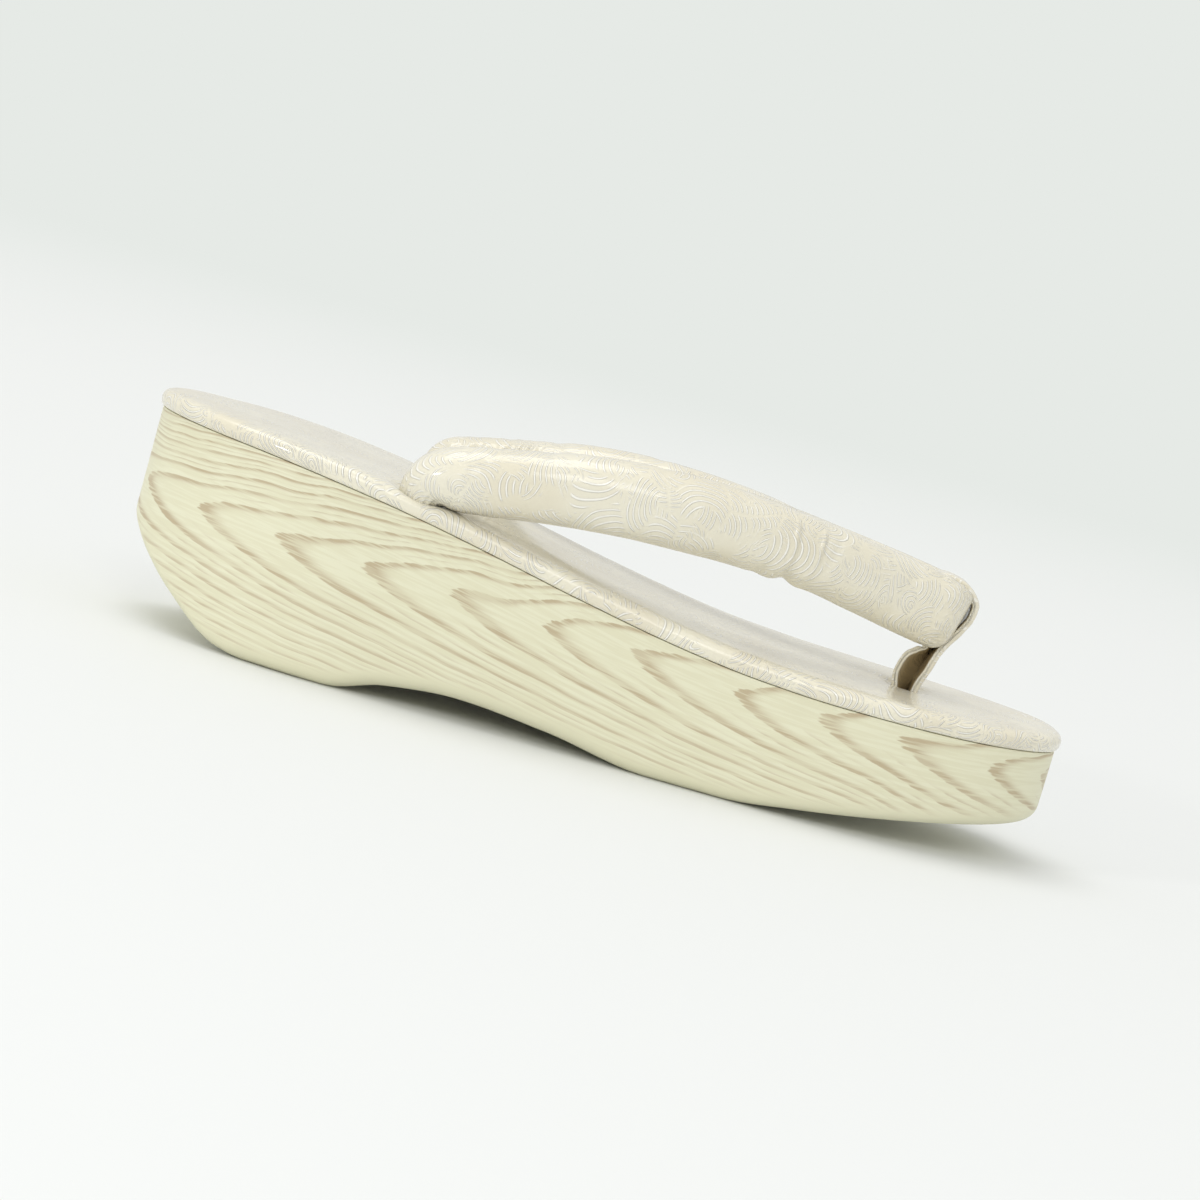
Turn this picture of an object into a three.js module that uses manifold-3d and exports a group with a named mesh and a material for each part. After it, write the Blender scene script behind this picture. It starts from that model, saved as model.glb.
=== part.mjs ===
// Padded zori sandal: a wedge base, a padded deck on it, two padded straps that
// join at the front, and the flat loop that ties their joint down between the toes.
// Millimetres. +X points to the toe, +Y to the left side and +Z up. The sandal stands
// empty on the floor at z = 0, with the origin under the middle of its length.

import * as THREE from 'three';
import { mergeVertices } from 'three/addons/utils/BufferGeometryUtils.js';
import Module from 'manifold-3d';

const wasm = await Module();
wasm.setup();

// ---- driving dimensions ----

const gap = 0.3; // between pieces that meet
const soleLength = 240;
const halfLength = soleLength / 2;

// plan outline: a blunt toe end, a rounder heel end and a slow taper between them
const toeEnd = { startX: 49, halfWidth: 39, power: 2.2 };
const heelEnd = { startX: -63, halfWidth: 38, power: 1.9 };
const toeEndSteps = 10;
const sideStations = [40, 31, 22, 8, -6, -20, -34, -48];
const heelStations = [-63, -70, -77, -84, -91, -98, -105, -110, -114, -117, -119];

// side outline of the base: underside and top edge (the seam under the deck)
const soleRows = [
  { x: -120, underside: 22, seam: 52.1 },
  { x: -114, underside: 16, seam: 51.8 },
  { x: -105, underside: 9, seam: 51.4 },
  { x: -91, underside: 1, seam: 50.7 },
  { x: -84, underside: 0, seam: 50.2 },
  { x: -63, underside: 0, seam: 47.8 },
  { x: -48, underside: 3.8, seam: 45.5 },
  { x: -30, underside: 5.6, seam: 42.2 },
  { x: -6, underside: 3.8, seam: 37.5 },
  { x: 22, underside: 0, seam: 32.8 },
  { x: 40, underside: 0, seam: 30.8 },
  { x: 60, underside: 2.2, seam: 29.8 },
  { x: 90, underside: 6.5, seam: 29.5 },
  { x: 120, underside: 11, seam: 30 },
];

// rounded lower edge of the base, from the underside up to the wall
const soleEdge = [
  { inset: 4.5, rise: 0 },
  { inset: 2, rise: 0.6 },
  { inset: 0.6, rise: 2 },
  { inset: 0, rise: 4.5 },
];

// section through the deck's rolled edge, from its seam to its crown
const deckEdge = [
  { inset: 1.2, rise: gap },
  { inset: -0.4, rise: 0.8 },
  { inset: -0.9, rise: 2.1 },
  { inset: -0.5, rise: 3.4 },
  { inset: 0.9, rise: 4.4 },
  { inset: 3.5, rise: 4.9 },
  { inset: 9, rise: 5.2 },
  { inset: 22, rise: 5.4 },
];

// one strap, from its rounded heel end to the joint: centre, width and height
const strapRows = [
  { x: -54.5, y: 31, z: 49, width: 5, height: 5 },
  { x: -53.6, y: 31.2, z: 50.6, width: 11, height: 9.4 },
  { x: -51.2, y: 31.5, z: 53.4, width: 14.4, height: 11.6 },
  { x: -47.2, y: 31.9, z: 55.6, width: 16.6, height: 14.2 },
  { x: -41.5, y: 32.2, z: 57, width: 17.6, height: 15.8 },
  { x: -34, y: 32.2, z: 58.4, width: 18, height: 16.4 },
  { x: -24, y: 31.8, z: 60.4, width: 18.2, height: 17.2 },
  { x: -12, y: 30.6, z: 62.4, width: 18.4, height: 18.3 },
  { x: 2, y: 28.6, z: 63.4, width: 18.6, height: 18.6 },
  { x: 17, y: 25.6, z: 63.8, width: 18.4, height: 18.5 },
  { x: 31, y: 21.9, z: 63.3, width: 17.8, height: 17.9 },
  { x: 45, y: 17, z: 61.9, width: 16.6, height: 17.4 },
  { x: 58, y: 12.1, z: 59.8, width: 14.6, height: 18 },
  { x: 69, y: 8.1, z: 57.9, width: 12.8, height: 18.3 },
  { x: 78, y: 5.6, z: 56.2, width: 11.6, height: 18.5 },
  { x: 85, y: 4.6, z: 55.3, width: 10.4, height: 17 },
  { x: 88, y: 4.4, z: 55.1, width: 8, height: 13 },
  { x: 89, y: 4.3, z: 55, width: 4, height: 7 },
];
const strapSides = 20;
const strapSectionPower = 2.2; // 2 is an ellipse, more is squarer

// the strap's cord tail, from inside the strap down into the base
const tail = { x: -51, y: 31.2, radius: 4.6, bottom: 31, top: 56 };
const tailHole = { radius: 5.1, floor: 29 };

// the front loop: up from its slot, round the straps' joint and back into the slot
const loopRows = [
  { x: 81.2, z: 18, width: 8.4 },
  { x: 81.2, z: 32, width: 8.4 },
  { x: 81.6, z: 36.5, width: 8.5 },
  { x: 82.6, z: 41.2, width: 8.8 },
  { x: 84.4, z: 45.4, width: 9 },
  { x: 87, z: 49.5, width: 9.3 },
  { x: 89.5, z: 53.8, width: 9.5 },
  { x: 90.5, z: 58.2, width: 9.5 },
  { x: 89, z: 61.8, width: 9.5 },
  { x: 85.7, z: 64.2, width: 9.4 },
  { x: 81.3, z: 65.2, width: 9 },
  { x: 77, z: 64.4, width: 8 },
  { x: 74, z: 61.2, width: 7 },
  { x: 73, z: 56.2, width: 6.4 },
  { x: 73.4, z: 51, width: 6.6 },
  { x: 75.3, z: 47, width: 7.4 },
  { x: 78.6, z: 45.2, width: 8 },
  { x: 80.9, z: 43.4, width: 8.4 },
  { x: 79.6, z: 40.4, width: 8.4 },
  { x: 77.9, z: 36.8, width: 8.4 },
  { x: 77.4, z: 32, width: 8.4 },
  { x: 77.4, z: 18, width: 8.4 },
];
const loopThickness = 2.4;
const loopCorner = 0.7;
const loopSlot = { x: 79.3, length: 12.8, width: 8.6, floor: 16 };

const colours = {
  base: 0xe9e5cb,
  deck: 0xefe9dc,
  straps: 0xf0eadd,
  loop: 0xeee8da,
};

// ---- helpers ----

// Smooth value of one column of a table at x, with no overshoot between its rows.
function readColumn(rows, column, x) {
  const last = rows.length - 2;
  const k = Math.min(last, Math.max(0, rows.findIndex((row) => row.x > x) - 1));
  const at = x >= rows[last + 1].x ? last : k;
  const slope = (i) => (rows[i + 1][column] - rows[i][column]) / (rows[i + 1].x - rows[i].x);
  const tangent = (i) => {
    if (i === 0) return slope(0);
    if (i === last + 1) return slope(last);
    const before = slope(i - 1);
    const after = slope(i);
    return before * after <= 0 ? 0 : (2 * before * after) / (before + after);
  };
  const step = rows[at + 1].x - rows[at].x;
  const t = THREE.MathUtils.clamp((x - rows[at].x) / step, 0, 1);
  const start = (1 + 2 * t) * (1 - t) ** 2 * rows[at][column];
  const end = (3 - 2 * t) * t ** 2 * rows[at + 1][column];
  return start + end + t * (1 - t) * step * ((1 - t) * tangent(at) - t * tangent(at + 1));
}

const undersideAt = (x) => readColumn(soleRows, 'underside', x);
const seamAt = (x) => readColumn(soleRows, 'seam', x);

// Half of the width of the plan outline at x.
function halfWidthAt(x) {
  if (x > toeEnd.startX) {
    const u = Math.min(1, (x - toeEnd.startX) / (halfLength - toeEnd.startX));
    return toeEnd.halfWidth * (1 - u ** toeEnd.power) ** (1 / toeEnd.power);
  }
  if (x < heelEnd.startX) {
    const u = Math.min(1, (heelEnd.startX - x) / (halfLength + heelEnd.startX));
    return heelEnd.halfWidth * (1 - u ** heelEnd.power) ** (1 / heelEnd.power);
  }
  const t = THREE.MathUtils.smoothstep(x, heelEnd.startX, toeEnd.startX);
  return THREE.MathUtils.lerp(heelEnd.halfWidth, toeEnd.halfWidth, t);
}

// Plan outline as [x, y] corners, anticlockwise from the toe tip.
function makeOutline() {
  const left = [];
  for (let i = 1; i <= toeEndSteps; i += 1) {
    const turn = (i / toeEndSteps) * (Math.PI / 2);
    const reach = halfLength - toeEnd.startX;
    left.push(toeEnd.startX + reach * Math.cos(turn) ** (2 / toeEnd.power));
  }
  left.push(...sideStations, ...heelStations);
  const leftSide = left.map((x) => [x, halfWidthAt(x)]);
  const rightSide = leftSide.map(([x, y]) => [x, -y]).reverse();
  return [[halfLength, 0], ...leftSide, [-halfLength, 0], ...rightSide];
}

const outline = makeOutline();

// One closed ring of the outline, drawn in by inset, at height heightAt(x).
function outlineRing(inset, heightAt) {
  const alongX = 1 - inset / halfLength;
  const alongY = 1 - inset / toeEnd.halfWidth;
  return outline.map(([x, y]) => new THREE.Vector3(x * alongX, y * alongY, heightAt(x)));
}

// Solid through a stack of rings of one even count. Corner i of a ring faces corner
// count - i, and the two end rings are closed by strips between those pairs.
function ringSolid(rings) {
  const count = rings[0].length;
  const index = [];
  const at = (ring, i) => ring * count + (i % count);
  for (let ring = 0; ring < rings.length - 1; ring += 1) {
    for (let i = 0; i < count; i += 1) {
      index.push(at(ring, i), at(ring, i + 1), at(ring + 1, i + 1));
      index.push(at(ring, i), at(ring + 1, i + 1), at(ring + 1, i));
    }
  }
  const closeEnd = (ring, flip) => {
    const face = (a, b, c) => {
      if (flip) index.push(at(ring, a), at(ring, c), at(ring, b));
      else index.push(at(ring, a), at(ring, b), at(ring, c));
    };
    for (let i = 0; i < count / 2; i += 1) {
      if (i > 0) face(count - i, i, i + 1);
      if (i < count / 2 - 1) face(count - i, i + 1, count - i - 1);
    }
  };
  closeEnd(0, true);
  closeEnd(rings.length - 1, false);
  const geometry = new THREE.BufferGeometry();
  const corners = rings.flat().flatMap((corner) => corner.toArray());
  geometry.setAttribute('position', new THREE.Float32BufferAttribute(corners, 3));
  geometry.setIndex(index);
  return geometry;
}

function toSolid(geometry) {
  const bare = geometry.clone();
  bare.deleteAttribute('normal');
  bare.deleteAttribute('uv');
  const merged = mergeVertices(bare);
  const vertProperties = new Float32Array(merged.attributes.position.array);
  const triVerts = new Uint32Array(merged.index.array);
  return new wasm.Manifold(new wasm.Mesh({ numProp: 3, vertProperties, triVerts }));
}

function toGeometry(solid) {
  const { vertProperties, triVerts } = solid.getMesh();
  const geometry = new THREE.BufferGeometry();
  geometry.setAttribute('position', new THREE.BufferAttribute(vertProperties, 3));
  geometry.setIndex(new THREE.BufferAttribute(triVerts, 1));
  return geometry;
}

const barSides = 20;

// Upright round bar between two heights.
function uprightBar(x, y, radius, bottom, top) {
  const bar = new THREE.CylinderGeometry(radius, radius, top - bottom, barSides);
  bar.rotateX(Math.PI / 2);
  bar.translate(x, y, (top + bottom) / 2);
  return toSolid(bar);
}

// Upright bar with a slot section, long across the sandal, from floor up to top.
function slotBar(top) {
  const { x, length, width, floor } = loopSlot;
  const reach = (length - width) / 2;
  const section = new THREE.Shape();
  section.absarc(0, reach, width / 2, 0, Math.PI);
  section.absarc(0, -reach, width / 2, Math.PI, 2 * Math.PI);
  const settings = { depth: top - floor, bevelEnabled: false, curveSegments: 8 };
  const bar = new THREE.ExtrudeGeometry(section, settings);
  bar.translate(x, 0, floor);
  return toSolid(bar);
}

const aboveAll = 80;
const bothSides = [1, -1];

// The slot and the two tail holes, cut down from above.
function cutHoles(solid) {
  let cut = solid.subtract(slotBar(aboveAll));
  for (const side of bothSides) {
    const { radius, floor } = tailHole;
    cut = cut.subtract(uprightBar(tail.x, side * tail.y, radius, floor, aboveAll));
  }
  return cut;
}

// ---- pieces ----

function makeBase() {
  const rings = soleEdge.map(({ inset, rise }) => outlineRing(inset, (x) => undersideAt(x) + rise));
  rings.push(outlineRing(0, seamAt));
  return toGeometry(cutHoles(toSolid(ringSolid(rings))));
}

// The deck's cushion, thickened by extra on its upper side.
function deckSolid(extra) {
  const rings = deckEdge.map(({ inset, rise }, step) => {
    const spread = step === 0 ? 0 : extra;
    const alongX = 1 - (inset - spread) / halfLength;
    return outlineRing(inset - spread, (x) => seamAt(x * alongX) + rise + spread);
  });
  return toSolid(ringSolid(rings));
}

function makeDeck() {
  return toGeometry(cutHoles(deckSolid(0)));
}

// One oval ring round a path point, square to the path's direction there.
function sectionRing(centre, forward, width, height, count, power) {
  const across = new THREE.Vector3(0, 0, 1).cross(forward).normalize();
  const up = new THREE.Vector3().crossVectors(forward, across).normalize();
  const bend = (value) => Math.sign(value) * Math.abs(value) ** (2 / power);
  return Array.from({ length: count }, (_, i) => {
    const turn = (i / count) * 2 * Math.PI;
    return centre.clone()
      .addScaledVector(across, (width / 2) * bend(Math.cos(turn)))
      .addScaledVector(up, (height / 2) * bend(Math.sin(turn)));
  });
}

// Padded tube of one strap, on the left (1) or right (-1) side.
function strapSolid(side) {
  const centres = strapRows.map(({ x, y, z }) => new THREE.Vector3(x, side * y, z));
  const rings = strapRows.map(({ width, height }, i) => {
    const before = centres[Math.max(0, i - 1)];
    const after = centres[Math.min(centres.length - 1, i + 1)];
    const forward = new THREE.Vector3().subVectors(after, before).normalize();
    return sectionRing(centres[i], forward, width, height, strapSides, strapSectionPower);
  });
  return toSolid(ringSolid(rings));
}

// The band of the front loop, made fuller all round by extra.
function loopSolid(extra) {
  const halfThickness = loopThickness / 2 + extra;
  const rings = loopRows.map((row, i) => {
    const before = loopRows[Math.max(0, i - 1)];
    const after = loopRows[Math.min(loopRows.length - 1, i + 1)];
    const forward = new THREE.Vector3(after.x - before.x, 0, after.z - before.z).normalize();
    const outward = forward.clone().cross(new THREE.Vector3(0, 1, 0));
    const halfWidth = row.width / 2 + extra;
    const corner = [
      [halfWidth, halfThickness - loopCorner],
      [halfWidth - loopCorner, halfThickness],
    ];
    const section = [
      [halfWidth, 0],
      ...corner,
      [0, halfThickness],
      ...corner.map(([y, t]) => [-y, t]).reverse(),
      [-halfWidth, 0],
      ...corner.map(([y, t]) => [-y, -t]),
      [0, -halfThickness],
      ...corner.map(([y, t]) => [y, -t]).reverse(),
    ];
    return section.map(([y, t]) => new THREE.Vector3(row.x, y, row.z).addScaledVector(outward, t));
  });
  return toSolid(ringSolid(rings));
}

// Both straps in one, cut clear of the deck below and of the loop round their joint,
// with a round tail going down from the heel end of each.
function makeStraps() {
  const tubes = strapSolid(1).add(strapSolid(-1));
  let pair = tubes.subtract(deckSolid(gap)).subtract(loopSolid(gap));
  for (const side of bothSides) {
    pair = pair.add(uprightBar(tail.x, side * tail.y, tail.radius, tail.bottom, tail.top));
  }
  return toGeometry(pair);
}

function makeLoop() {
  return toGeometry(loopSolid(0));
}

function makeMesh(name, geometry, color, roughness) {
  geometry.computeVertexNormals();
  const material = new THREE.MeshStandardMaterial({ color, roughness, metalness: 0, flatShading: true });
  const mesh = new THREE.Mesh(geometry, material);
  mesh.name = name;
  return mesh;
}

const sandal = new THREE.Group();
sandal.add(makeMesh('base', makeBase(), colours.base, 0.5));
sandal.add(makeMesh('deck_pad', makeDeck(), colours.deck, 0.4));
sandal.add(makeMesh('straps', makeStraps(), colours.straps, 0.4));
sandal.add(makeMesh('front_loop', makeLoop(), colours.loop, 0.4));

export default sandal;
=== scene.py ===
# Padded zori sandal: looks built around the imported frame.
# Tables are in millimetres, in the frame's own axes: +X toe, +Y left, +Z up.
import math

import bmesh
import bpy
from mathutils import Matrix, Vector, noise


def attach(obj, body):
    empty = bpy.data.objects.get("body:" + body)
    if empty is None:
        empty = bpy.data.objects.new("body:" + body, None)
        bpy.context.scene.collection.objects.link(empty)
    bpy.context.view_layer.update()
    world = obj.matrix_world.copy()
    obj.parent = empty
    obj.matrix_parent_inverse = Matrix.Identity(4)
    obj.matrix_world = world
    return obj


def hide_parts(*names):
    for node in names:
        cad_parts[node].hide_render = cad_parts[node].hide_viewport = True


mm = 0.001
uvSpan = 100.0  # millimetres to one unit of the "surface" UV maps
scene = bpy.context.scene

print("loading the frame")
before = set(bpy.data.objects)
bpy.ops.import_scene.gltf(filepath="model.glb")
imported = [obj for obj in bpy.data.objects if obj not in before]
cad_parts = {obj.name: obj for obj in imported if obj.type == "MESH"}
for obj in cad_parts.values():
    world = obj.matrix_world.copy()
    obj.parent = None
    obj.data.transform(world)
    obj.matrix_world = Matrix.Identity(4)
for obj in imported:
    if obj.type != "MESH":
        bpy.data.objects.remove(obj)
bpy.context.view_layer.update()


# ---- camera ----

camera = {
    "place": (-12.7, -770.9, 123.9),
    "target": (-1.0, 0.0, 34.5),
    "roll": 16.0,  # degrees, turns the toe down to the right
    "lens": 92.0,
    "sensor": 36.0,
}


def makeCamera():
    data = bpy.data.cameras.new("camera")
    data.lens = camera["lens"]
    data.sensor_width = camera["sensor"]
    data.clip_start = 0.01
    data.clip_end = 60.0
    eye = bpy.data.objects.new("camera", data)
    scene.collection.objects.link(eye)
    place = Vector(camera["place"]) * mm
    look = (Vector(camera["target"]) * mm - place).to_track_quat("-Z", "Y")
    roll = Matrix.Rotation(math.radians(camera["roll"]), 3, "Z")
    eye.rotation_euler = (look.to_matrix() @ roll).to_euler()
    eye.location = place
    scene.camera = eye


# ---- small helpers ----


def clamp(value, low=0.0, high=1.0):
    return min(max(value, low), high)


def smooth(value, low, high):
    # 0 before low, 1 after high and an even curve between
    t = clamp((value - low) / (high - low))
    return t * t * (3.0 - 2.0 * t)


def bump(value, middle, width):
    return math.exp(-(((value - middle) / width) ** 2))


def turnGap(angle, middle):
    # shortest way round from middle to angle, in degrees
    return (angle - middle + 180.0) % 360.0 - 180.0


def smoothCurve(points):
    # a curve through (x, value) rows that never overshoots between them
    xs = [point[0] for point in points]
    ys = [point[1] for point in points]
    last = len(points) - 2
    slopes = [(ys[i + 1] - ys[i]) / (xs[i + 1] - xs[i]) for i in range(last + 1)]
    tangents = [slopes[0]]
    for before, after in zip(slopes, slopes[1:]):
        flat = before * after <= 0.0
        tangents.append(0.0 if flat else 2.0 * before * after / (before + after))
    tangents.append(slopes[-1])

    def valueAt(x):
        k = 0
        while k < last and x >= xs[k + 1]:
            k += 1
        step = xs[k + 1] - xs[k]
        t = clamp((x - xs[k]) / step)
        start = (1.0 + 2.0 * t) * (1.0 - t) ** 2 * ys[k]
        end = (3.0 - 2.0 * t) * t * t * ys[k + 1]
        lean = t * (1.0 - t) * step * ((1.0 - t) * tangents[k] - t * tangents[k + 1])
        return start + end + lean

    return valueAt


def finishPiece(bm, name, node, material):
    bmesh.ops.recalc_face_normals(bm, faces=bm.faces[:])
    for face in bm.faces:
        face.smooth = True
    mesh = bpy.data.meshes.new(name)
    bm.to_mesh(mesh)
    bm.free()
    piece = bpy.data.objects.new(name, mesh)
    scene.collection.objects.link(piece)
    mesh.materials.append(material)
    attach(piece, "root")
    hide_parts(node)
    return piece


# ---- the sole's outline ----

sole = {
    "halfLength": 120.0,
    "toe": {"start": 49.0, "halfWidth": 39.0, "power": 2.2},
    "heel": {"start": -63.0, "halfWidth": 38.0, "power": 1.9},
    "around": 320,  # corners of each ring
    "underside": [
        (-120, 22), (-114, 16), (-105, 9), (-91, 1), (-84, 0), (-63, 0), (-48, 3.8),
        (-30, 5.6), (-6, 3.8), (22, 0), (40, 0), (60, 2.2), (90, 6.5), (120, 11),
    ],
    "seam": [
        (-120, 52.1), (-105, 51.4), (-91, 50.7), (-77, 49.5), (-63, 47.8), (-48, 45.5), (-30, 42.2),
        (-6, 37.5), (22, 32.8), (40, 30.8), (60, 29.8), (90, 29.5), (120, 30),
    ],
}
undersideAt = smoothCurve(sole["underside"])
seamAt = smoothCurve(sole["seam"])


def halfWidthAt(x):
    toe, heel = sole["toe"], sole["heel"]
    if x > toe["start"]:
        u = clamp((x - toe["start"]) / (sole["halfLength"] - toe["start"]))
        return toe["halfWidth"] * (1.0 - u ** toe["power"]) ** (1.0 / toe["power"])
    if x < heel["start"]:
        u = clamp((heel["start"] - x) / (sole["halfLength"] + heel["start"]))
        return heel["halfWidth"] * (1.0 - u ** heel["power"]) ** (1.0 / heel["power"])
    t = smooth(x, heel["start"], toe["start"])
    return heel["halfWidth"] + (toe["halfWidth"] - heel["halfWidth"]) * t


def makeOutline():
    # corners at even steps, from the middle of the heel along the right side and back by the left
    fine = 3000
    side = []
    for i in range(fine + 1):
        x = -sole["halfLength"] * math.cos(math.pi * i / fine)
        side.append((x, -halfWidthAt(x)))
    reach = [0.0]
    for a, b in zip(side, side[1:]):
        reach.append(reach[-1] + math.dist(a, b))
    half = sole["around"] // 2
    right = []
    k = 0
    for i in range(half + 1):
        goal = reach[-1] * i / half
        while k < fine - 1 and reach[k + 1] < goal:
            k += 1
        t = (goal - reach[k]) / (reach[k + 1] - reach[k])
        a, b = side[k], side[k + 1]
        right.append((a[0] + (b[0] - a[0]) * t, a[1] + (b[1] - a[1]) * t))
    left = [(x, -y) for x, y in reversed(right[1:-1])]
    return right + left, 2.0 * reach[-1]


outline, outlineLength = makeOutline()


def ringAt(inset, heightAt):
    # the outline drawn in by inset; a deep inset closes it to a line down the middle
    alongX = 1.0 - inset / sole["halfLength"]
    alongY = max(0.0, 1.0 - inset / sole["toe"]["halfWidth"])
    return [Vector((x * alongX, y * alongY, heightAt(x, x * alongX))) for x, y in outline]


def stackRings(rings):
    # one closed skin through rings of the same count, each drawn from the last
    bm = bmesh.new()
    turn = bm.verts.layers.int.new("turn")
    level = bm.verts.layers.int.new("level")
    first = bmesh.ops.create_circle(bm, segments=len(rings[0]), radius=1.0)["verts"]
    for i, vert in enumerate(first):
        vert[turn] = i
    edges = bm.edges[:]
    verts = first
    for k, ring in enumerate(rings):
        if k:
            grown = bmesh.ops.extrude_edge_only(bm, edges=edges)["geom"]
            verts = [part for part in grown if isinstance(part, bmesh.types.BMVert)]
            edges = [part for part in grown if isinstance(part, bmesh.types.BMEdge)]
        for vert in verts:
            vert[level] = k
            vert.co = ring[vert[turn]] * mm
    return bm, turn, level


def closeSpines(bm):
    bmesh.ops.remove_doubles(bm, verts=bm.verts[:], dist=0.00002)


def cutAway(piece, cutters):
    # cuts closed bars out of a piece and keeps its own mesh as the result
    for cutter in cutters:
        modifier = piece.modifiers.new("cut", "BOOLEAN")
        modifier.operation = "DIFFERENCE"
        modifier.solver = "EXACT"
        modifier.object = cutter
    bpy.context.view_layer.update()
    seen = piece.evaluated_get(bpy.context.evaluated_depsgraph_get())
    mesh = bpy.data.meshes.new_from_object(seen)
    piece.modifiers.clear()
    piece.data = mesh
    for cutter in cutters:
        bpy.data.objects.remove(cutter)


def barCutter(x, y, length, width, low, high):
    # upright bar with round ends, long across the sandal
    bm = bmesh.new()
    radius = width / 2
    bmesh.ops.create_cone(bm, cap_ends=True, segments=40, radius1=radius, radius2=radius, depth=high - low)
    for vert in bm.verts:
        vert.co.y += math.copysign((length - width) / 2, vert.co.y)
        vert.co += Vector((x, y, (low + high) / 2))
        vert.co *= mm
    bmesh.ops.recalc_face_normals(bm, faces=bm.faces[:])
    mesh = bpy.data.meshes.new("bar")
    bm.to_mesh(mesh)
    bm.free()
    bar = bpy.data.objects.new("bar", mesh)
    scene.collection.objects.link(bar)
    return bar


# ---- shader helpers ----


def addNode(tree, kind, inputs=None, **settings):
    node = tree.nodes.new(kind)
    for name, value in settings.items():
        setattr(node, name, value)
    for name, value in (inputs or {}).items():
        if isinstance(value, bpy.types.NodeSocket):
            tree.links.new(value, node.inputs[name])
        else:
            node.inputs[name].default_value = value
    return node


def calc(tree, operation, *values):
    inputs = {i: value for i, value in enumerate(values)}
    return addNode(tree, "ShaderNodeMath", inputs, operation=operation).outputs[0]


def vectorCalc(tree, operation, first, second):
    inputs = {0: first, 1: second}
    return addNode(tree, "ShaderNodeVectorMath", inputs, operation=operation).outputs[0]


def scaleVector(tree, vector, scale):
    inputs = {0: vector, "Scale": scale}
    return addNode(tree, "ShaderNodeVectorMath", inputs, operation="SCALE").outputs[0]


def noiseNode(tree, vector, scale, detail, dimensions="3D"):
    inputs = {"Vector": vector, "Scale": scale, "Detail": detail}
    return addNode(tree, "ShaderNodeTexNoise", inputs, noise_dimensions=dimensions)


def remap(tree, value, fromLow, fromHigh, toLow=0.0, toHigh=1.0):
    inputs = {"Value": value, "From Min": fromLow, "From Max": fromHigh, "To Min": toLow, "To Max": toHigh}
    return addNode(tree, "ShaderNodeMapRange", inputs, interpolation_type="SMOOTHSTEP").outputs["Result"]


def blendColors(tree, factor, first, second):
    node = addNode(tree, "ShaderNodeMix", data_type="RGBA", blend_type="MIX")
    for index, value in ((0, factor), (6, first), (7, second)):
        if isinstance(value, bpy.types.NodeSocket):
            tree.links.new(value, node.inputs[index])
        else:
            node.inputs[index].default_value = value
    return node.outputs[2]


def newGroup(name, inputs, outputs):
    tree = bpy.data.node_groups.new(name, "ShaderNodeTree")
    for label, kind, value in inputs:
        socket = tree.interface.new_socket(label, in_out="INPUT", socket_type=kind)
        if value is not None:
            socket.default_value = value
    for label, kind in outputs:
        tree.interface.new_socket(label, in_out="OUTPUT", socket_type=kind)
    start = tree.nodes.new("NodeGroupInput")
    end = tree.nodes.new("NodeGroupOutput")
    return tree, start.outputs, end.inputs


def newMaterial(name):
    material = bpy.data.materials.new(name)
    material.use_nodes = True
    tree = material.node_tree
    return material, tree, tree.nodes["Principled BSDF"]


def srgb(red, green, blue):
    # a colour given in 0..255 screen values, as the linear colour a socket takes
    def linear(value):
        value /= 255.0
        return value / 12.92 if value <= 0.04045 else ((value + 0.055) / 1.055) ** 2.4

    return (linear(red), linear(green), linear(blue), 1.0)


# ---- shared effects ----


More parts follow.
